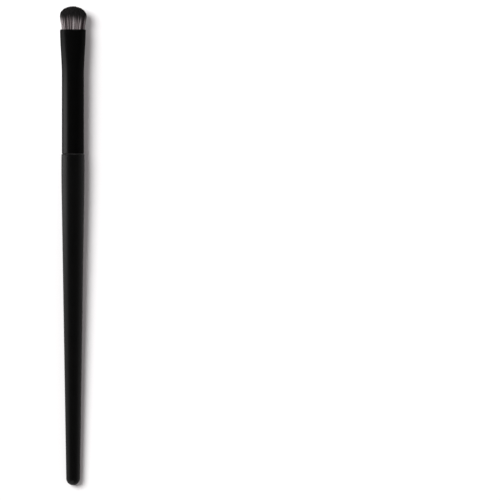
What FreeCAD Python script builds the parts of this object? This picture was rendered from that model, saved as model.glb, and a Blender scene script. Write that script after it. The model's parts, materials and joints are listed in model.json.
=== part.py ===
import FreeCAD
import Part
import Sketcher
import math
import os

# Eyeshadow brush, in millimetres. Each piece is drawn with the brush's axis along +Y, the tip at +Y, the
# flat face towards +Z and the origin in the plane where the ferrule meets the handle's shoulder. It is then
# laid down, so that the tapered handle rests on Z = 0 along its lowest line.
SIZES = {
    "handle_length": 117.7,
    "tail_radius": 2.45,
    "belly_diameter": 8.22,
    "belly_setback": 5.0,
    "belly_arc_radius": 560.0,
    "shoulder_round": 0.45,
    "tenon_chamfer": 0.6,
    "tenon_glue_thickness": 0.1,
    "ferrule_diameter": 7.82,
    "ferrule_wall": 0.35,
    "ferrule_length": 44.0,
    "flare_length": 16.7,
    "mouth_width": 9.12,
    "mouth_thickness": 6.4,
    "mouth_round": 0.28,
    "seam_round": 0.15,
    "plug_length": 6.0,
    "plug_floor": 1.5,
    "thread_diameter": 0.4,
    "thread_pitch": 0.85,
    "thread_turns": 4.0,
    "thread_clearance": 0.03,
    "bristle_clearance": 0.05,
    "lock_gap": 0.06,
    "tuft_exposure": 8.29,
    "tuft_width": 9.2,
    "tuft_thickness": 5.9,
    "dome_height": 3.02,
    "lock_tip_length": 0.9,
    "bend_height": 1.5,
    "bend_angle": 30.0,
    "bend_spare_angle": 10.0,
    "bend_clearance": 0.08,
}
LOCK_RINGS = 4
FLARE_STEPS = 6

doc = FreeCAD.newDocument("eyeshadow_brush")
sheet = doc.addObject("Spreadsheet::Sheet", "Sizes")
for row, (alias, value) in enumerate(SIZES.items(), start=1):
    sheet.set(f"A{row}", alias)
    sheet.set(f"B{row}", str(value))
    sheet.setAlias(f"B{row}", alias)
doc.recompute()

# How the brush lies: the straight taper touches both the belly's arc and the tail's sphere, and the whole
# brush is tilted by the taper's angle, lifted onto the surface and centred along its length.
TAIL_REACH = "(Sizes.handle_length - Sizes.tail_radius)"
BELLY_RUN = f"({TAIL_REACH} - Sizes.belly_setback)"
BELLY_DROP = "(Sizes.belly_arc_radius - Sizes.belly_diameter / 2)"
TAPER_ANGLE = (
    f"(asin((Sizes.belly_arc_radius - Sizes.tail_radius) / hypot({BELLY_RUN}; {BELLY_DROP}))"
    f" - atan({BELLY_DROP} / {BELLY_RUN}))"
)
TIP_REACH = "(Sizes.ferrule_length + Sizes.tuft_exposure)"
LIE_LIFT = f"Sizes.tail_radius + {TAIL_REACH} * sin({TAPER_ANGLE})"
LIE_SHIFT = f"(({TAIL_REACH} - {TIP_REACH}) * cos({TAPER_ANGLE}) + Sizes.tail_radius) / 2"

# Radii that the pieces inside the ferrule share, and where those pieces lie in its round stretch: the thread
# ends where the pressed stretch starts, the plug is behind the thread, and the tenon reaches to the plug.
FERRULE_RADIUS = "Sizes.ferrule_diameter / 2"
BORE_RADIUS = f"({FERRULE_RADIUS} - Sizes.ferrule_wall)"
TENON_RADIUS = f"({BORE_RADIUS} - Sizes.tenon_glue_thickness)"
THREAD_ROOM = "(Sizes.thread_diameter + 2 * Sizes.thread_clearance)"
BUNDLE_RADIUS = f"({BORE_RADIUS} - {THREAD_ROOM})"
FLARE_START = "(Sizes.ferrule_length - Sizes.flare_length)"
BINDING_LENGTH = f"(Sizes.thread_turns * Sizes.thread_pitch + {THREAD_ROOM})"
PLUG_FRONT = f"({FLARE_START} - {BINDING_LENGTH})"
TENON_LENGTH = f"({PLUG_FRONT} - Sizes.plug_length)"


def lay_down(piece):
    """Lay a finished sub-part on the surface with the rest of the brush."""
    piece.Placement = FreeCAD.Placement(FreeCAD.Vector(), FreeCAD.Rotation(FreeCAD.Vector(1, 0, 0), 1))
    piece.setExpression("Placement.Rotation.Angle", TAPER_ANGLE)
    piece.setExpression("Placement.Base.y", LIE_SHIFT)
    piece.setExpression("Placement.Base.z", LIE_LIFT)


def value_of(formula):
    """The number that a formula on the sheet gives."""
    result = sheet.evalExpression(formula)
    return float(getattr(result, "Value", result))


def new_body(name):
    body = doc.addObject("PartDesign::Body", name)
    body.Label = name
    return body


def new_sketch(body, name, role, along="0"):
    """A sketch on one of the body's own planes; along moves a cross-section towards the tip."""
    plane = next(p for p in body.Origin.OriginFeatures if p.Role == role)
    sketch = body.newObject("Sketcher::SketchObject", name)
    sketch.AttachmentSupport = [(plane, "")]
    sketch.MapMode = "FlatFace"
    if along != "0":
        sketch.setExpression("AttachmentOffset.Base.z", f"-({along})")
    return sketch


def constrain(sketch, name, formula, kind, *where):
    """Add a named dimension to the sketch and bind it to the sheet."""
    index = sketch.addConstraint(Sketcher.Constraint(kind, *where, value_of(formula)))
    sketch.renameConstraint(index, name)
    sketch.setExpression(f"Constraints.{name}", formula)


def add_circle(sketch, name, radius, across="0"):
    """A circle centred on the sketch's upright axis, or set off sideways from it."""
    centre = FreeCAD.Vector(value_of(across), 0, 0)
    circle = sketch.addGeometry(Part.Circle(centre, FreeCAD.Vector(0, 0, 1), value_of(radius)))
    constrain(sketch, f"{name}_radius", radius, "Radius", circle)
    return circle


def add_round(sketch, name, radius):
    circle = add_circle(sketch, name, radius)
    sketch.addConstraint(Sketcher.Constraint("Coincident", circle, 3, -1, 1))


def add_oval(sketch, name, half_width, half_thickness):
    """An ellipse about the axis, wider across X than it is thick."""
    wide, thick = value_of(half_width), value_of(half_thickness)
    rim = Part.Ellipse(FreeCAD.Vector(wide, 0, 0), FreeCAD.Vector(0, thick, 0), FreeCAD.Vector())
    oval = sketch.addGeometry(rim)
    sketch.exposeInternalGeometry(oval)
    sketch.addConstraint(Sketcher.Constraint("Coincident", oval, 3, -1, 1))
    sketch.addConstraint(Sketcher.Constraint("Horizontal", oval + 1))
    constrain(sketch, f"{name}_width", f"2 * ({half_width})", "Distance", oval + 1)
    constrain(sketch, f"{name}_thickness", f"2 * ({half_thickness})", "Distance", oval + 2)


def edges_at(shape, along, half_width):
    """Names of the closed edges that lie in one cross-section and reach that far across."""
    names = []
    for number, edge in enumerate(shape.Edges, start=1):
        box = edge.BoundBox
        flat = max(abs(box.YMin - along), abs(box.YMax - along)) < 1e-4
        if flat and abs(box.XMax - half_width) < 1e-3 and abs(box.XMin + half_width) < 1e-3:
            names.append(f"Edge{number}")
    return names


def round_edge(body, name, base, along, half_width, radius):
    doc.recompute()
    fillet = body.newObject("PartDesign::Fillet", name)
    fillet.Base = (base, edges_at(base.Shape, value_of(along), value_of(half_width)))
    fillet.setExpression("Radius", radius)
    return fillet


# Handle: one turned stick. Its tail is a sphere, its taper is straight, a long arc makes the belly, the
# shoulder is rounded off and a tenon runs on into the ferrule.
handle = new_body("handle")
profile = new_sketch(handle, "handle_profile", "XY_Plane")
taper = math.radians(value_of(TAPER_ANGLE))
tail_centre = FreeCAD.Vector(0, -value_of(TAIL_REACH), 0)
belly_centre = FreeCAD.Vector(-value_of(BELLY_DROP), -sheet.belly_setback, 0)
round_rise = sheet.belly_setback - sheet.shoulder_round
round_angle = math.asin(round_rise / (sheet.belly_arc_radius - sheet.shoulder_round))
round_centre = belly_centre + FreeCAD.Vector(
    (sheet.belly_arc_radius - sheet.shoulder_round) * math.cos(round_angle), round_rise, 0
)
out_of_plane = FreeCAD.Vector(0, 0, 1)
tail_arc = Part.ArcOfCircle(Part.Circle(tail_centre, out_of_plane, sheet.tail_radius), -math.pi / 2, -taper)
belly_circle = Part.Circle(belly_centre, out_of_plane, sheet.belly_arc_radius)
belly_arc = Part.ArcOfCircle(belly_circle, -taper, round_angle)
shoulder_circle = Part.Circle(round_centre, out_of_plane, sheet.shoulder_round)
shoulder_arc = Part.ArcOfCircle(shoulder_circle, round_angle, math.pi / 2)
tenon_radius, tenon_length = value_of(TENON_RADIUS), value_of(TENON_LENGTH)
corners = [
    shoulder_arc.EndPoint,
    FreeCAD.Vector(tenon_radius, 0, 0),
    FreeCAD.Vector(tenon_radius, tenon_length - sheet.tenon_chamfer, 0),
    FreeCAD.Vector(tenon_radius - sheet.tenon_chamfer, tenon_length, 0),
    FreeCAD.Vector(0, tenon_length, 0),
    FreeCAD.Vector(0, -sheet.handle_length, 0),
]
TAIL, TAPER, BELLY, SHOULDER, SEAT, TENON, CHAMFER, TENON_END, AXIS = range(9)
profile.addGeometry(tail_arc)
profile.addGeometry(Part.LineSegment(tail_arc.EndPoint, belly_arc.StartPoint))
profile.addGeometry(belly_arc)
profile.addGeometry(shoulder_arc)
for start, end in zip(corners, corners[1:]):
    profile.addGeometry(Part.LineSegment(start, end))
for first, second in ((TAIL, TAPER), (TAPER, BELLY), (BELLY, SHOULDER), (SHOULDER, SEAT)):
    profile.addConstraint(Sketcher.Constraint("Tangent", first, 2, second, 1))
for first, second in ((SEAT, TENON), (TENON, CHAMFER), (CHAMFER, TENON_END), (TENON_END, AXIS), (AXIS, TAIL)):
    profile.addConstraint(Sketcher.Constraint("Coincident", first, 2, second, 1))
profile.addConstraint(Sketcher.Constraint("PointOnObject", TAIL, 3, -2))
profile.addConstraint(Sketcher.Constraint("PointOnObject", AXIS, 1, -2))
profile.addConstraint(Sketcher.Constraint("PointOnObject", AXIS, 2, -2))
profile.addConstraint(Sketcher.Constraint("PointOnObject", SEAT, 2, -1))
profile.addConstraint(Sketcher.Constraint("Horizontal", SEAT))
profile.addConstraint(Sketcher.Constraint("Vertical", TENON))
profile.addConstraint(Sketcher.Constraint("Horizontal", TENON_END))
constrain(profile, "tail_radius", "Sizes.tail_radius", "Radius", TAIL)
constrain(profile, "handle_length", "Sizes.handle_length", "DistanceY", AXIS, 2, -1, 1)
constrain(profile, "belly_arc_radius", "Sizes.belly_arc_radius", "Radius", BELLY)
constrain(profile, "belly_drop", BELLY_DROP, "DistanceX", BELLY, 3, -1, 1)
constrain(profile, "belly_setback", "Sizes.belly_setback", "DistanceY", BELLY, 3, -1, 1)
constrain(profile, "shoulder_round", "Sizes.shoulder_round", "Radius", SHOULDER)
constrain(profile, "tenon_radius", TENON_RADIUS, "DistanceX", -1, 1, TENON, 1)
constrain(profile, "tenon_length", TENON_LENGTH, "DistanceY", -1, 1, AXIS, 1)
constrain(profile, "chamfer_across", "Sizes.tenon_chamfer", "DistanceX", CHAMFER, 2, CHAMFER, 1)
constrain(profile, "chamfer_along", "Sizes.tenon_chamfer", "DistanceY", CHAMFER, 1, CHAMFER, 2)
turning = handle.newObject("PartDesign::Revolution", "handle_turning")
turning.Profile = profile
turning.ReferenceAxis = (profile, ["V_Axis"])
turning.Angle = 360

# Tenon glue: the thin sleeve that fills the room between the tenon and the tube.
tenon_glue = new_body("tenon_glue")
glue_ring = new_sketch(tenon_glue, "glue_ring", "XZ_Plane")
add_round(glue_ring, "outer", BORE_RADIUS)
add_round(glue_ring, "inner", TENON_RADIUS)
glue_sleeve = tenon_glue.newObject("PartDesign::Pad", "glue_sleeve")
glue_sleeve.Profile = glue_ring
glue_sleeve.Reversed = True
glue_sleeve.setExpression("Length", f"{TENON_LENGTH} - Sizes.tenon_chamfer")

# Ferrule: a drawn tube, round over the tenon, then pressed wider and flatter towards its mouth. The rim is
# rolled inwards and the edge at the handle is eased, which leaves a fine groove at the seam.
ferrule = new_body("ferrule")
barrel_ring = new_sketch(ferrule, "barrel_ring", "XZ_Plane")
add_round(barrel_ring, "outer", FERRULE_RADIUS)
add_round(barrel_ring, "inner", BORE_RADIUS)
barrel = ferrule.newObject("PartDesign::Pad", "barrel")
barrel.Profile = barrel_ring
barrel.Reversed = True
barrel.setExpression("Length", FLARE_START)


def flare_sections(side, inset):
    """Cross-sections of the pressed stretch, easing from round to the mouth's oval, each inset by a wall."""
    sections = [new_sketch(ferrule, f"{side}_0", "XZ_Plane", FLARE_START)]
    add_round(sections[0], "start", f"{FERRULE_RADIUS} - {inset}")
    for step in range(1, FLARE_STEPS + 1):
        share = step / FLARE_STEPS
        ease = share * share * (3 - 2 * share)
        along = f"{FLARE_START} + Sizes.flare_length * {share}"
        section = new_sketch(ferrule, f"{side}_{step}", "XZ_Plane", along)
        halves = [
            f"{FERRULE_RADIUS} + (Sizes.{mouth} - Sizes.ferrule_diameter) / 2 * {ease} - {inset}"
            for mouth in ("mouth_width", "mouth_thickness")
        ]
        add_oval(section, "oval", *halves)
        sections.append(section)
    return sections


outer_sections = flare_sections("flare_outer", "0")
flare = ferrule.newObject("PartDesign::AdditiveLoft", "flare")
flare.Profile = outer_sections[0]
flare.Sections = outer_sections[1:]
inner_sections = flare_sections("flare_inner", "Sizes.ferrule_wall")
flare_bore = ferrule.newObject("PartDesign::SubtractiveLoft", "flare_bore")
flare_bore.Profile = inner_sections[0]
flare_bore.Sections = inner_sections[1:]
mouth_rim = round_edge(
    ferrule, "mouth_rim", flare_bore, "Sizes.ferrule_length", "Sizes.mouth_width / 2", "Sizes.mouth_round"
)
round_edge(ferrule, "seam_edge", mouth_rim, "0", FERRULE_RADIUS, "Sizes.seam_round")

# Binding thread: a few turns wound round the bundle of bristles just in front of the root plug.
binding_thread = new_body("binding_thread")
thread_section = new_sketch(binding_thread, "thread_section", "XY_Plane")
THREAD_ACROSS = f"{BUNDLE_RADIUS} + Sizes.thread_clearance + Sizes.thread_diameter / 2"
THREAD_ALONG = f"{PLUG_FRONT} + Sizes.thread_clearance + Sizes.thread_diameter / 2"
strand = add_circle(thread_section, "thread", "Sizes.thread_diameter / 2", THREAD_ACROSS)
constrain(thread_section, "across", THREAD_ACROSS, "DistanceX", -1, 1, strand, 3)
constrain(thread_section, "along", THREAD_ALONG, "DistanceY", -1, 1, strand, 3)
winding = binding_thread.newObject("PartDesign::AdditiveHelix", "winding")
winding.Profile = thread_section
winding.ReferenceAxis = (thread_section, ["V_Axis"])
winding.Mode = "pitch-turns-angle"
winding.setExpression("Pitch", "Sizes.thread_pitch")
winding.setExpression("Turns", "Sizes.thread_turns")
doc.recompute()

# Bristles: the filaments are gathered into locks, set in rings from the middle of the bundle outwards. A
# lock runs straight through the plug and the binding, fans out to the mouth's oval, swells to the tuft's
# widest place and ends on the dome.
bundle_half = (value_of(BUNDLE_RADIUS), value_of(BUNDLE_RADIUS))
mouth_inset = sheet.ferrule_wall + sheet.bristle_clearance
mouth_half = (sheet.mouth_width / 2 - mouth_inset, sheet.mouth_thickness / 2 - mouth_inset)
widest_half = (sheet.tuft_width / 2, sheet.tuft_thickness / 2)
root_end = tenon_length + sheet.plug_floor
dome_base = sheet.ferrule_length + sheet.tuft_exposure - sheet.dome_height
bundle_rings = LOCK_RINGS + 0.5


def pitches(half_sizes):
    """Spacing of the rings across X and Z in a bundle of those half sizes."""
    return [(half + sheet.lock_gap / 2) / bundle_rings for half in half_sizes]


def lock_outline(place, along, half_sizes, share):
    """One lock's oval outline at a station along the brush; share narrows it at the tip."""
    spacing = pitches(half_sizes)
    half = [(pitch - sheet.lock_gap) / 2 * share for pitch in spacing]
    outline = FreeCAD.Matrix()
    outline.scale(half[0], 1, half[1])
    outline.move(place[0] * spacing[0], along, place[1] * spacing[1])
    return Part.Wire(Part.makeCircle(1, FreeCAD.Vector(), FreeCAD.Vector(0, 1, 0))).transformGeometry(outline)


def tip_along(place):
    """Where a lock ends on the dome; place is in ring spacings from the axis."""
    return dome_base + sheet.dome_height * math.sqrt(1 - (math.hypot(*place) / bundle_rings) ** 2)


def lock(place):
    """The closed solid of one lock, from its root in the plug to its rounded tip."""
    tip = tip_along(place)
    stations = [
        (root_end, bundle_half, 1),
        (value_of(FLARE_START), bundle_half, 1),
        (sheet.ferrule_length, mouth_half, 1),
        (tip - sheet.lock_tip_length, widest_half, 1),
        (tip - sheet.lock_tip_length / 3, widest_half, 0.75),
        (tip, widest_half, 0.3),
    ]
    return Part.makeLoft([lock_outline(place, *station) for station in stations], True, True)


# The tuft bends just above the mouth. There each lock is parted by a rounded seat about the bending axis, so
# that the free ends can turn over the roots without meeting them.
bend_along = sheet.ferrule_length + sheet.bend_height
outer_shoulder = tip_along((LOCK_RINGS, 0)) - sheet.lock_tip_length
bend_share = sheet.bend_height / (outer_shoulder - sheet.ferrule_length)
bend_grow = 1 / math.cos(math.radians((sheet.bend_angle + sheet.bend_spare_angle) / 2))
seat_half = [bend_grow * (m + (w - m) * bend_share) for m, w in zip(mouth_half, widest_half)]
bend_centre = FreeCAD.Vector(0, bend_along, 0)


def bend_seat(extra):
    """The solid of revolution about the bending axis, made larger all round by extra."""
    across, reach = (half + extra for half in seat_half)
    ends = [FreeCAD.Vector(across, bend_along, 0), FreeCAD.Vector(0, bend_along + reach, 0)]
    start, stop = (0, math.pi)
    if across < reach:
        ends.reverse()
        start, stop = (-math.pi / 2, math.pi / 2)
    arc = Part.ArcOfEllipse(Part.Ellipse(*ends, bend_centre), start, stop).toShape()
    chord = Part.makeLine(arc.Vertexes[-1].Point, arc.Vertexes[0].Point)
    face = Part.Face(Part.Wire([arc, chord]))
    return face.revolve(bend_centre, FreeCAD.Vector(1, 0, 0), 360)


room = 2 * (sheet.ferrule_length + sheet.tuft_exposure)
front_corner = FreeCAD.Vector(-room / 2, bend_along, -room / 2)
back_corner = FreeCAD.Vector(-room / 2, bend_along - room, -room / 2)
free_zone = bend_seat(sheet.bend_clearance).fuse(Part.makeBox(room, room, room, front_corner))
held_zone = Part.makeBox(room, room, room, back_corner).cut(bend_seat(0))

locks = {"pale_bristle_roots": [], "dark_bristle_roots": [], "pale_bristle_ends": [], "dark_bristle_ends": []}
for ring in range(LOCK_RINGS + 1):
    count = max(1, 6 * ring)
    for number in range(count):
        turn = 2 * math.pi * number / count
        whole = lock((ring * math.cos(turn), ring * math.sin(turn)))
        kind = "dark" if number % 3 == ring % 2 else "pale"
        locks[f"{kind}_bristle_roots"].append(whole.cut(free_zone))
        locks[f"{kind}_bristle_ends"].append(whole.cut(held_zone))
bristles = []
for name, solids in locks.items():
    group = doc.addObject("Part::Feature", name)
    group.Label = name
    group.Shape = Part.Compound(solids)
    bristles.append(group)

# Root plug: the cast epoxy that fills the tube in front of the tenon and holds every lock's root.
plug_cast = doc.addObject("Part::Cylinder", "plug_cast")
plug_cast.Placement.Rotation = FreeCAD.Rotation(FreeCAD.Vector(1, 0, 0), -90)
plug_cast.setExpression("Radius", BORE_RADIUS)
plug_cast.setExpression("Height", "Sizes.plug_length")
plug_cast.setExpression("Placement.Base.y", TENON_LENGTH)
root_sockets = doc.addObject("Part::Feature", "root_sockets")
root_sockets.Shape = Part.Compound(locks["pale_bristle_roots"] + locks["dark_bristle_roots"])
root_plug = doc.addObject("Part::Cut", "root_plug")
root_plug.Label = "root_plug"
root_plug.Base = plug_cast
root_plug.Tool = root_sockets

pieces = [handle, tenon_glue, ferrule, root_plug, binding_thread, *bristles]
for piece in pieces:
    lay_down(piece)
doc.recompute()

failed = [made.Name for made in doc.Objects if {"Invalid", "Error"} & set(made.State)]
failed += [piece.Label for piece in pieces if piece.Shape.isNull() or not piece.Shape.isValid()]
if failed:
    raise RuntimeError(f"these objects failed: {failed}")
os.makedirs("parts", exist_ok=True)
for piece in pieces:
    piece.Shape.exportStep(f"parts/{piece.Label}.step")
    solids = piece.Shape.Solids
    print(f"{piece.Label}: {len(solids)} solids, {sum(solid.Volume for solid in solids):.2f} mm3")
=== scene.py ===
import bmesh
import bpy
import json
import math
import random
from mathutils import Matrix, Vector, kdtree


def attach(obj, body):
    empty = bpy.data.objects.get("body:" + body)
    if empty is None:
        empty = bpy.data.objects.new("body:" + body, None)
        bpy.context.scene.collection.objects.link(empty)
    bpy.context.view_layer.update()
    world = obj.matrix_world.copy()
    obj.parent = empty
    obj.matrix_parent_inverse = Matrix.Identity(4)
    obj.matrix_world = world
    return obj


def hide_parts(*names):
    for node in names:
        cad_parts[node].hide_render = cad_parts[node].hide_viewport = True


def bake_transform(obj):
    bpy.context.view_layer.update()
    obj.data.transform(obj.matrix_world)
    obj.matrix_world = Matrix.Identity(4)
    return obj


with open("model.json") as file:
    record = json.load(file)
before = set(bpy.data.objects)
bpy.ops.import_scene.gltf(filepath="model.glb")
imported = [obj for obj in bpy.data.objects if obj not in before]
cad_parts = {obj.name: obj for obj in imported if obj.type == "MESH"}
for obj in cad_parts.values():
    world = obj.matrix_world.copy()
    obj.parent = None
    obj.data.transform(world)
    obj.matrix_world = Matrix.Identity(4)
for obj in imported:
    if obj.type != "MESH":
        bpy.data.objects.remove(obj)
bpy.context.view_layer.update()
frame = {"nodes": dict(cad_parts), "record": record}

# The handle: a hardwood stick turned on a lathe, with a round tail, a long straight taper, a slight belly and
# a tenon for the ferrule. A matte black soft-touch lacquer is sprayed over all that shows.
MM = 0.001
barrel = next(mount for mount in frame["record"]["mounts"] if mount["name"] == "ferrule_barrel")
brush_axis = Vector(barrel["axis"])
barrel_radius = barrel["dims"]["r_mm"] * MM
barrel_length = barrel["dims"]["length_mm"] * MM
taper = math.atan2(brush_axis.z, brush_axis.y)
shoulder = Vector(barrel["pos_m"]) - brush_axis * barrel_length / 2
lay_down = Matrix.Translation(shoulder) @ Matrix.Rotation(taper, 4, "X")
handle_length = 117.7 * MM
tail_radius = 2.45 * MM
belly_radius = 4.11 * MM
belly_setback = 5.0 * MM
belly_arc_radius = 560 * MM
shoulder_round = 0.55 * MM
tenon_radius = 3.46 * MM
tenon_length = 17.44 * MM
tenon_chamfer = 0.6 * MM
turning_steps = 96
tail_steps = 20
taper_steps = 24
belly_steps = 12
shoulder_steps = 8
weld_gap = 0.0005 * MM
crease = math.radians(40)


def arc(centre, radius, start, end, steps):
    """Points across and along the brush's axis, on an arc from one angle to another."""
    turns = [start + (end - start) * step / steps for step in range(steps + 1)]
    return [(centre[0] + radius * math.cos(turn), centre[1] + radius * math.sin(turn)) for turn in turns]


def between(first, last, steps):
    """Points inside a straight stretch, spaced evenly, without its two ends."""
    shares = [step / steps for step in range(1, steps)]
    return [tuple(a + (b - a) * share for a, b in zip(first, last)) for share in shares]


def add_object(name, data):
    """An object in the scene, made of the data."""
    made = bpy.data.objects.new(name, data)
    bpy.context.scene.collection.objects.link(made)
    return made


def lay_piece(name, shape):
    """The finished piece: its shape closed, turned outwards, laid down with the brush and shaded smooth."""
    bmesh.ops.remove_doubles(shape, verts=shape.verts, dist=weld_gap)
    bmesh.ops.recalc_face_normals(shape, faces=shape.faces)
    bmesh.ops.transform(shape, matrix=lay_down, verts=shape.verts)
    mesh = bpy.data.meshes.new(name)
    shape.to_mesh(mesh)
    shape.free()
    mesh.shade_smooth()
    mesh.set_sharp_from_angle(angle=crease)
    return add_object(name, mesh)


class Wire:
    """A value on its way through a material's nodes. Sums and products of wires add Math nodes."""

    def __init__(self, tree, socket):
        self.tree = tree
        self.socket = socket

    def node(self, kind, settings, inputs, output=0):
        """Adds a node, makes its settings, sets or links its sockets, and gives one of its outputs."""
        made = self.tree.nodes.new(kind)
        for name, value in settings.items():
            setattr(made, name, value)
        for name, value in inputs.items():
            if isinstance(value, Wire):
                self.tree.links.new(value.socket, made.inputs[name])
            else:
                made.inputs[name].default_value = value
        return Wire(self.tree, made.outputs[output])

    def into(self, shader, socket):
        """Links the value to one of a shader's sockets."""
        self.tree.links.new(self.socket, shader.inputs[socket])

    def __add__(self, other):
        return self.node("ShaderNodeMath", {"operation": "ADD"}, {0: self, 1: other})

    def __mul__(self, other):
        return self.node("ShaderNodeMath", {"operation": "MULTIPLY"}, {0: self, 1: other})

    __radd__ = __add__
    __rmul__ = __mul__


def new_finish(name, constants):
    """A material with its shader's constant sockets set: the material, its shader, and where it is read."""
    material = bpy.data.materials.new(name)
    material.use_nodes = True
    tree = material.node_tree
    shader = tree.nodes["Principled BSDF"]
    for socket, value in constants.items():
        shader.inputs[socket].default_value = value
    return material, shader, Wire(tree, tree.nodes.new("ShaderNodeTexCoord").outputs["Object"])


def mottle(place, size, detail=3.0):
    """Soft random patches about as large as size, from 0 to 1."""
    return place.node("ShaderNodeTexNoise", {}, {"Vector": place, "Scale": 1 / size, "Detail": detail})


def mixed(share, first, second):
    """A colour between two others."""
    return share.node("ShaderNodeMix", {"data_type": "RGBA"}, {0: share, 6: first, 7: second}, output=2)


def raised(height, depth):
    """Surface relief of that depth, for a shader's Normal."""
    return height.node("ShaderNodeBump", {}, {"Height": height, "Distance": depth, "Strength": 1.0})


tail_centre = (0, tail_radius - handle_length)
belly_centre = (belly_radius - belly_arc_radius, -belly_setback)
round_reach = belly_arc_radius - shoulder_round
round_turn = math.asin((belly_setback - shoulder_round) / round_reach)
round_centre = (belly_centre[0] + round_reach * math.cos(round_turn), -shoulder_round)
tail_arc = arc(tail_centre, tail_radius, -math.pi / 2, -taper, tail_steps)
belly_arc = arc(belly_centre, belly_arc_radius, -taper, round_turn, belly_steps)
handle_outline = [
    *tail_arc,
    *between(tail_arc[-1], belly_arc[0], taper_steps),
    *belly_arc,
    *arc(round_centre, shoulder_round, round_turn, math.pi / 2, shoulder_steps)[1:],
    (tenon_radius, 0),
    (tenon_radius, tenon_length - tenon_chamfer),
    (tenon_radius - tenon_chamfer, tenon_length),
    (0, tenon_length),
]
stick = bmesh.new()
corners = [stick.verts.new((across, along, 0)) for across, along in handle_outline]
edges = [stick.edges.new(pair) for pair in zip(corners, corners[1:])]
full_turn = {"cent": (0, 0, 0), "axis": (0, 1, 0), "angle": math.tau, "steps": turning_steps}
bmesh.ops.spin(stick, geom=corners + edges, use_merge=True, **full_turn)
handle = lay_piece("lacquered_handle", stick)

lacquer_black = (0.0009, 0.0009, 0.0009, 1)
lacquer_worn = (0.0018, 0.0017, 0.0016, 1)
lacquer_roughness = 0.36
lacquer_wear = 0.08
cloud_size = 6 * MM
peel_size = 0.35 * MM
peel_depth = 0.0012 * MM
soft_touch = {"Specular IOR Level": 0.4, "Sheen Weight": 0.24, "Sheen Roughness": 0.41}
lacquer, shader, place = new_finish("soft_touch_lacquer", soft_touch)
clouds = mottle(place, cloud_size)
mixed(clouds, lacquer_black, lacquer_worn).into(shader, "Base Color")
(lacquer_roughness + clouds * lacquer_wear).into(shader, "Roughness")
raised(mottle(place, peel_size, detail=2), peel_depth).into(shader, "Normal")
handle.data.materials.append(lacquer)
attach(handle, "brush")
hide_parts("handle")

# The tenon glue: a thin sleeve of hard amber adhesive between the tenon and the ferrule, squeezed out evenly
# when the two are pushed together. It is sealed in.
glue_amber = (0.62, 0.46, 0.2, 1)
glue_pale = (0.78, 0.66, 0.42, 1)
glue_roughness = 0.22
glue_cloud_size = 1.5 * MM
glue_ripple_size = 0.5 * MM
ripple_depth = 0.01 * MM


def resin_finish(name, roughness, colours, cloud_size, ripple_size):
    """A hard resin, clouded between two colours and faintly rippled."""
    material, shader, place = new_finish(name, {"Roughness": roughness})
    mixed(mottle(place, cloud_size), *colours).into(shader, "Base Color")
    raised(mottle(place, ripple_size), ripple_depth).into(shader, "Normal")
    return material


def dress_node(name, finish):
    """Puts a finish on a piece that keeps its CAD shape."""
    materials = frame["nodes"][name].data.materials
    materials.clear()
    materials.append(finish)


glue_colours = (glue_amber, glue_pale)
glue = resin_finish("amber_glue", glue_roughness, glue_colours, glue_cloud_size, glue_ripple_size)
dress_node("tenon_glue", glue)

# The ferrule: a drawn aluminium tube, round over the tenon and pressed flatter and wider to its mouth, where
# the rim is rolled in. It is painted matte black, and glued and crimped on.
ferrule_wall = 0.35 * MM
ferrule_length = 44 * MM
mouth_half = (4.56 * MM, 3.2 * MM)
mouth_round = 0.3 * MM
mouth_drop = 0.5 * MM
lip_round = 0.05 * MM
seam_round = 0.15 * MM
flare_start = barrel_length
flare_length = ferrule_length - flare_start
flare_steps = 24
seam_steps = 5
rim_steps = 8
lip_steps = 3


def ease(share):
    """Goes from 0 to 1 with a gentle start and end."""
    share = min(max(share, 0), 1)
    return share * share * (3 - 2 * share)


def ferrule_half(along, inset):
    """Half the tube's width and thickness at a place along it, less an inset."""
    share = ease((along - flare_start) / flare_length)
    return [barrel_radius + (mouth - barrel_radius) * share - inset for mouth in mouth_half]


def ring(shape, along, inset):
    """One loop of edges round the tube."""
    made = bmesh.ops.create_circle(shape, segments=turning_steps, radius=1)["verts"]
    half_width, half_thickness = ferrule_half(along, inset)
    oval = Matrix.Diagonal((half_width, half_thickness, 1, 1))
    stand = Matrix.Translation((0, along, 0)) @ Matrix.Rotation(math.pi / 2, 4, "X")
    bmesh.ops.transform(shape, matrix=stand @ oval, verts=made)
    return list({edge for vert in made for edge in vert.link_edges})


flare_stations = [flare_start + flare_length * step / flare_steps for step in range(flare_steps)]
rim_along = ferrule_length - mouth_drop
lip_along = ferrule_length - lip_round
seam_arc = arc((seam_round, seam_round), seam_round, math.pi * 1.5, math.pi, seam_steps)
rim_turn = arc((1, 0), 1, math.pi, math.pi / 2, rim_steps)
rim_arc = [(across * mouth_round, rim_along + along * mouth_drop) for across, along in rim_turn]
lip_arc = arc((ferrule_wall - lip_round, lip_along), lip_round, math.pi / 2, 0, lip_steps)
tube_stations = [
    *seam_arc,
    *[(0, along) for along in flare_stations],
    *rim_arc,
    *lip_arc,
    *[(ferrule_wall, along) for along in reversed(flare_stations)],
    (ferrule_wall, 0),
]
tube = bmesh.new()
loops = [ring(tube, along, inset) for inset, along in tube_stations]
for first, second in zip(loops, loops[1:] + loops[:1]):
    bmesh.ops.bridge_loops(tube, edges=first + second)
ferrule = lay_piece("painted_ferrule", tube)

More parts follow.
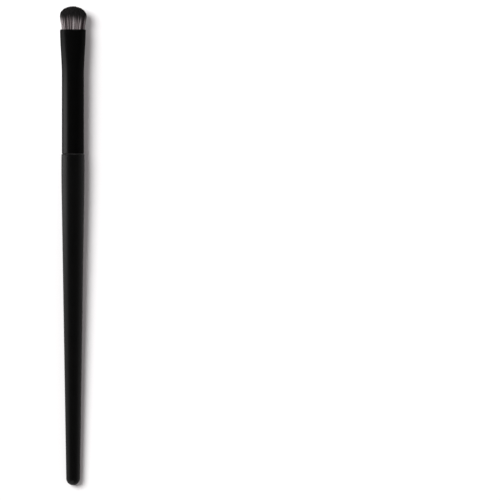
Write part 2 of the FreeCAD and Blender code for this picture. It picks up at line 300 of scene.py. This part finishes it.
paint_black = (0.001, 0.001, 0.001, 1)
paint_grey = (0.0019, 0.0018, 0.0018, 1)
paint_roughness = 0.28
paint_wear = 0.06
scuff_size = 4 * MM
draw_line_stretch = (1, 0.04, 1)
draw_line_size = 0.12 * MM
draw_line_depth = 0.0008 * MM
paint, shader, place = new_finish("black_ferrule_paint", {"Specular IOR Level": 0.4})
draw_lines = place.node("ShaderNodeMapping", {}, {"Vector": place, "Scale": draw_line_stretch})
scuffs = mottle(place, scuff_size)
mixed(scuffs, paint_black, paint_grey).into(shader, "Base Color")
(paint_roughness + scuffs * paint_wear).into(shader, "Roughness")
raised(mottle(draw_lines, draw_line_size), draw_line_depth).into(shader, "Normal")
ferrule.data.materials.append(paint)
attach(ferrule, "brush")
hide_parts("ferrule")

# The root plug: clear epoxy poured round the ends of the bristles and set hard in the tube, which holds every
# filament. It is sealed in.
epoxy_deep = (0.5, 0.36, 0.14, 1)
epoxy_clear = (0.72, 0.6, 0.34, 1)
epoxy_roughness = 0.18
epoxy_cloud_size = 1.2 * MM
epoxy_ripple_size = 0.4 * MM
epoxy_colours = (epoxy_deep, epoxy_clear)
epoxy = resin_finish("cast_epoxy", epoxy_roughness, epoxy_colours, epoxy_cloud_size, epoxy_ripple_size)
dress_node("root_plug", epoxy)

# The binding thread: a few turns of twisted off-white polyester thread, wound tight round the bundle in front
# of the plug before the bristles are fanned.
thread_white = (0.78, 0.75, 0.69, 1)
thread_shade = (0.5, 0.47, 0.42, 1)
thread_roughness = 0.85
twist_scale = 1100
twist_wobble = 1.5
twist_depth = 0.03 * MM
thread, shader, place = new_finish("twisted_thread", {"Roughness": thread_roughness})
twist_settings = {"wave_type": "BANDS", "bands_direction": "DIAGONAL"}
twist_inputs = {"Vector": place, "Scale": twist_scale, "Distortion": twist_wobble}
twist = place.node("ShaderNodeTexWave", twist_settings, twist_inputs)
mixed(twist, thread_shade, thread_white).into(shader, "Base Color")
raised(twist, twist_depth).into(shader, "Normal")
dress_node("binding_thread", thread)

# The tuft: some thousands of synthetic filaments in two kinds, pale pinkish-white and near-black, gathered in
# small locks and dyed black at their tips. They stand in the plug, fan out from the mouth and end in a dome.
random.seed(7)
filament_count = 3400
filament_radius = 0.046 * MM
filament_sides = 4
filament_jitter = 0.008
filament_weld_gap = 0.0001 * MM
lock_count = 700
lock_jitter = 0.04
lock_pull = 0.42
lock_pull_start = 0.15
golden_turn = math.pi * (3 - math.sqrt(5))

bundle_radius = 3.0 * MM
root_gap = 1.5 * MM
rim_clearance = 0.1 * MM
tuft_exposure = 8.29 * MM
dome_height = 3.4 * MM
dome_base = tuft_exposure - dome_height
widest_half = (4.72 * MM, 2.95 * MM)
fan_start = 0.1
mouth_shift = 0.07 * MM
dome_shift = 0.13 * MM
lock_length_spread = 0.09 * MM
tip_trim = 0.16 * MM
bow_reach = 0.03 * MM
stray_reach = 0.16 * MM
stray_share = 0.07

# Near-black filaments: whole dark locks, and filaments along lock borders, which are partly the brush's own
# dark filaments and partly painted shade in the gaps between locks.
dark_lock_share = 0.25
dark_and_shade_border = 0.12
dark_and_shade_border_blur = (0.6, 1.5)
dye_line = (0.37, 0.54)
dye_dip = 0.1
dye_spread = 0.015
tone_range = (0.05, 0.95)
tone_spread = 0.16
tone_limit = 0.999

strip_count = 64
strip_margin = 0.1
strip_reach = 70 * MM
strip_middle = 0.5
dye_fade = 1.6 * MM / strip_reach

# Where the filaments are held: the place along the brush, the bundle's half sizes, and the filaments' width.
root_along = tenon_length + root_gap
root_half = (bundle_radius, bundle_radius)
gripped_half = [half - ferrule_wall - rim_clearance - filament_radius for half in mouth_half]
flare_middle = (flare_start + ferrule_length) / 2
middle_half = [(root + grip) / 2 for root, grip in zip(root_half, gripped_half)]
held_stations = [
    (root_along, root_half, 0),
    (root_along + filament_radius, root_half, 1),
    (flare_start, root_half, 1),
    (flare_middle, middle_half, 1),
]
# Where they are free: the share of the way from the mouth to the tip, and the filaments' width.
free_stations = [(0, 1), (0.22, 1), (0.44, 1), (0.66, 1), (0.86, 0.9), (0.97, 0.6), (1, 0)]


def spread_evenly(count, jitter):
    """Points spread over a round bundle of radius 1, each moved a little at random."""
    places = []
    for number in range(count):
        reach = math.sqrt((number + 0.5) / count)
        turn = number * golden_turn
        x = reach * math.cos(turn) + random.uniform(-jitter, jitter)
        z = reach * math.sin(turn) + random.uniform(-jitter, jitter)
        places.append(Vector((x, z, 0)) / max(1, math.hypot(x, z)))
    return places


def tuft_half(height):
    """Half the bundle's width and thickness at a height above the mouth."""
    share = ease(fan_start + (1 - fan_start) * height / dome_base)
    return [grip + (wide - grip) * share for grip, wide in zip(gripped_half, widest_half)]


def tuft_shift(height):
    """How far the bundle leans to one side at a height above the mouth."""
    lean = mouth_shift + (dome_shift - mouth_shift) * ease(height / dome_base)
    return lean - dome_shift * ease((height - dome_base) / dome_height)


def filament_path(spot, lock_centre, tip):
    """Points and widths along one filament, from its root in the plug to its tip."""
    path = []
    for along, half, width in held_stations:
        path.append((Vector((spot.x * half[0], along, spot.y * half[1])), width))
    reach = stray_reach if random.random() < stray_share else bow_reach
    bow = Vector((random.gauss(0, reach), random.gauss(0, bow_reach), 0))
    for share, width in free_stations:
        height = tip * share
        half = tuft_half(height)
        pull = lock_pull * ease((share - lock_pull_start) / (1 - lock_pull_start))
        drawn = spot.lerp(lock_centre, pull)
        stray = bow * share * share
        across = drawn.x * half[0] + stray.x + tuft_shift(height)
        through = drawn.y * half[1] + stray.y
        path.append((Vector((across, ferrule_length + height, through)), width))
    return path


def map_strips(mesh, strands):
    """Gives each filament the strip of the map that its finish reads: tone across it, dye along it."""
    layer = mesh.uv_layers.new(name="OFBake")
    ring_count = len(held_stations) + len(free_stations)
    side_width = (1 - 2 * strip_margin) / filament_sides
    for face in mesh.polygons:
        verts = [mesh.loops[loop].vertex_index for loop in face.loop_indices]
        sides = [vert % filament_sides for vert in verts]
        wraps = 0 in sides and filament_sides - 1 in sides
        for loop, vert, side in zip(face.loop_indices, verts, sides):
            number, station = divmod(vert // filament_sides, ring_count)
            path, dye_height, strip = strands[number]
            height = path[station][0].y - ferrule_length
            turn = filament_sides if wraps and side == 0 else side
            u = (strip + strip_margin + side_width * turn) / strip_count
            layer.data[loop].uv = (u, strip_middle + (height - dye_height) / strip_reach)


def strand_mesh(name, strands):
    """A mesh of square tubes along the filaments."""
    curve = bpy.data.curves.new(name, "CURVE")
    curve.dimensions = "3D"
    curve.bevel_depth = filament_radius
    curve.bevel_resolution = 0
    for path, _, _ in strands:
        spline = curve.splines.new("POLY")
        spline.points.add(len(path) - 1)
        for point, (place, width) in zip(spline.points, path):
            point.co = (*(lay_down @ place), 1)
            point.radius = width
    lines = bpy.data.objects.new(name, curve)
    mesh = bpy.data.meshes.new_from_object(lines)
    mesh.name = name
    bpy.data.objects.remove(lines)
    bpy.data.curves.remove(curve)
    map_strips(mesh, strands)
    tubes = bmesh.new()
    tubes.from_mesh(mesh)
    bmesh.ops.remove_doubles(tubes, verts=tubes.verts, dist=filament_weld_gap)
    bmesh.ops.recalc_face_normals(tubes, faces=tubes.faces)
    tubes.to_mesh(mesh)
    tubes.free()
    return mesh


lock_centres = spread_evenly(lock_count, lock_jitter)
lock_tree = kdtree.KDTree(lock_count)
for number, centre in enumerate(lock_centres):
    lock_tree.insert(centre, number)
lock_tree.balance()
lock_dye = [random.uniform(*dye_line) for _ in lock_centres]
lock_is_dark = [random.random() < dark_lock_share for _ in lock_centres]
lock_tones = [random.uniform(*tone_range) for _ in lock_centres]
lock_length = [random.gauss(0, lock_length_spread) for _ in lock_centres]
strands = {"pale": [], "dark": []}
for spot in spread_evenly(filament_count, filament_jitter):
    (centre, lock, near), (_, _, next_near) = lock_tree.find_n(spot, 2)
    border = (next_near - near) / (next_near + near)
    tip = dome_base + dome_height * math.sqrt(max(0, 1 - spot.length_squared)) + lock_length[lock]
    tip += random.uniform(-tip_trim, 0)
    # A filament close to its lock's border joins the dark kind: painted shade in the gap between locks, as
    # well as real dark filaments.
    is_dark = lock_is_dark[lock] or border < dark_and_shade_border * random.uniform(*dark_and_shade_border_blur)
    dye_share = lock_dye[lock] - dye_dip * (1 - border) ** 2 + random.gauss(0, dye_spread)
    path = filament_path(spot, centre, tip)
    tone = min(max(lock_tones[lock] + random.gauss(0, tone_spread), 0), tone_limit)
    strands["dark" if is_dark else "pale"].append((path, tuft_exposure * dye_share, int(tone * strip_count)))

filament_white = (0.74, 0.68, 0.69, 1)
filament_mauve = (0.11, 0.075, 0.08, 1)
filament_brown = (0.02, 0.012, 0.013, 1)
filament_dark = (0.007, 0.0045, 0.005, 1)
filament_grey = (0.03, 0.028, 0.028, 1)
filament_dye = (0.006, 0.0055, 0.0055, 1)
satin = {"Roughness": 0.5, "Specular IOR Level": 0.3}


def eased(value, start, end):
    """0 where the value is at start, 1 where it is at end."""
    limits = {"Value": value, "From Min": start, "From Max": end}
    return value.node("ShaderNodeMapRange", {"interpolation_type": "SMOOTHSTEP"}, limits)


def filament_finish(name, light, deep):
    """A satin filament, of a tone between two colours and dyed black from its dye line to its tip."""
    material, shader, place = new_finish(name, satin)
    strip_map = place.node("ShaderNodeUVMap", {"uv_map": "OFBake"}, {})
    across = place.node("ShaderNodeSeparateXYZ", {}, {0: strip_map}, output=0)
    along = place.node("ShaderNodeSeparateXYZ", {}, {0: strip_map}, output=1)
    strip = place.node("ShaderNodeMath", {"operation": "FLOOR"}, {0: across * strip_count})
    tone = strip * (1 / strip_count)
    dyed = eased(along, strip_middle - dye_fade, strip_middle + dye_fade)
    tip_black = mixed(tone, filament_grey, filament_dye)
    mixed(dyed, mixed(tone, light, deep), tip_black).into(shader, "Base Color")
    return material


filament_colours = {"pale": (filament_white, filament_mauve), "dark": (filament_brown, filament_dark)}
for kind, colours in filament_colours.items():
    mesh = strand_mesh(f"{kind}_filaments", strands[kind])
    mesh.materials.append(filament_finish(f"{kind}_filament", *colours))
    tuft = add_object(f"{kind}_filaments", mesh)
    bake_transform(tuft)
    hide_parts(f"{kind}_bristle_roots", f"{kind}_bristle_ends")

# The table: a plain white surface that the brush lies on, wide enough to fill low views.
table_reach = 15
table_white = (0.95, 0.95, 0.95, 1)
table_matte = {"Base Color": table_white, "Roughness": 1.0, "Specular IOR Level": 0.0}
surface = bmesh.new()
bmesh.ops.create_grid(surface, x_segments=1, y_segments=1, size=table_reach)
table_mesh = bpy.data.meshes.new("table")
surface.to_mesh(table_mesh)
surface.free()
table_finish, _, _ = new_finish("white_table", table_matte)
table_mesh.materials.append(table_finish)
table = add_object("table", table_mesh)
table.visible_glossy = False
table.visible_shadow = False

# The studio light: a large soft lamp high on the left for the shadow, a small low one that lights the head
# from the left, and a card on the left for the sheen on the ferrule and the handle.
scene = bpy.context.scene
scene.view_settings.view_transform = "Standard"
sun_height = math.radians(57)
sun_swing = math.radians(32)
sun_spread = math.radians(32)
sun_energy = 2.95
sun_distance = 2
side_place = (-60 * MM, 82 * MM, 22 * MM)
side_facing = (1, 0, -0.28)
side_size = (30 * MM, 40 * MM)
side_energy = 0.02
card_place = (-120 * MM, 30 * MM, 5 * MM)
card_facing = (1, 0, 0)
card_size = (66 * MM, 125 * MM)
card_radiance = 1.0


def set_lamp(name, kind, place, facing, hidden_from, **settings):
    """A lamp at a place, facing some way, which rays of the named kinds don't meet."""
    data = bpy.data.lights.new(name, kind)
    for setting, value in settings.items():
        setattr(data, setting, value)
    lamp = add_object(name, data)
    lamp.location = place
    lamp.rotation_euler = Vector(facing).to_track_quat("-Z", "Y").to_euler()
    for rays in hidden_from:
        setattr(lamp, f"visible_{rays}", False)


def set_panel(name, place, facing, size, energy, hidden_from):
    """A flat glowing panel."""
    panel = {"shape": "RECTANGLE", "size": size[0], "size_y": size[1], "energy": energy}
    set_lamp(name, "AREA", place, facing, hidden_from, **panel)


sun_level = math.cos(sun_height)
sun_left = sun_level * math.cos(sun_swing)
sun_ahead = sun_level * math.sin(sun_swing)
toward_sun = Vector((-sun_left, sun_ahead, math.sin(sun_height)))
sun_settings = {"energy": sun_energy, "angle": sun_spread}
set_lamp("high_soft_lamp", "SUN", toward_sun * sun_distance, -toward_sun, ["glossy"], **sun_settings)
set_panel("low_side_lamp", side_place, side_facing, side_size, side_energy, ["glossy", "camera"])
card_energy = card_radiance * math.pi * card_size[0] * card_size[1]
set_panel("left_card", card_place, card_facing, card_size, card_energy, ["diffuse", "camera"])

# The surround: white to the camera, and a faint rose fill for the brush and the table. For the sheen it is a
# dim room with a wall on each side and a softbox off each end, with limits on a direction of length 1.
fill_rose = (0.33, 0.311, 0.314, 1)
studio_white = (1, 1, 1, 1)
left_wall_edge = (0.05, -0.35)
left_wall_top = (0.55, 0.3)
left_wall_foot = (-1.0, 0.3)
left_wall_radiance = 0.47
right_wall_edge = (-0.05, 0.35)
right_wall_top = (0.6, 0.1)
right_wall_radiance = 0.06
softbox_edge = (0.9, 0.98)
tip_box_place = Vector((0.2, 0.8, 0.56))
tip_box_radiance = 0.8
tail_box_place = Vector((-0.15, -0.8, 0.58))
tail_box_radiance = 0.6
dim_radiance = 0.008
world = bpy.data.worlds.new("studio")
scene.world = world
world.use_nodes = True
world.cycles.sampling_method = "NONE"
sky = Wire(world.node_tree, world.node_tree.nodes.new("ShaderNodeTexCoord").outputs["Generated"])


def softbox(place, radiance):
    """A round softbox in the surround."""
    toward = {0: sky, 1: place.normalized()}
    nearness = sky.node("ShaderNodeVectorMath", {"operation": "DOT_PRODUCT"}, toward, output="Value")
    return eased(nearness, *softbox_edge) * radiance


rightward = sky.node("ShaderNodeSeparateXYZ", {}, {0: sky}, output=0)
upward = sky.node("ShaderNodeSeparateXYZ", {}, {0: sky}, output=2)
camera_sees = sky.node("ShaderNodeLightPath", {}, {}, output="Is Camera Ray")
sheen_sees = sky.node("ShaderNodeLightPath", {}, {}, output="Is Glossy Ray")
left_limits = eased(rightward, *left_wall_edge) * eased(upward, *left_wall_top)
left_wall = left_limits * eased(upward, *left_wall_foot) * left_wall_radiance
right_wall = eased(rightward, *right_wall_edge) * eased(upward, *right_wall_top) * right_wall_radiance
tip_box = softbox(tip_box_place, tip_box_radiance)
tail_box = softbox(tail_box_place, tail_box_radiance)
glow = left_wall + right_wall + tip_box + tail_box + dim_radiance
sheen = glow.node("ShaderNodeCombineXYZ", {}, {0: glow, 1: glow, 2: glow})
surround = mixed(sheen_sees, fill_rose, sheen)
mixed(camera_sees, surround, studio_white).into(world.node_tree.nodes["Background"], "Color")

# The camera: a long lens high above the table, looking straight down, with the brush left of the middle.
view_width = 177.28 * MM
view_centre = (62.79 * MM, -1.49 * MM)
camera_height = 2.0
lens_data = bpy.data.cameras.new("camera")
lens_data.lens = lens_data.sensor_width * camera_height / view_width
camera = add_object("camera", lens_data)
camera.location = (*view_centre, camera_height + barrel["pos_m"][2])
scene.camera = camera
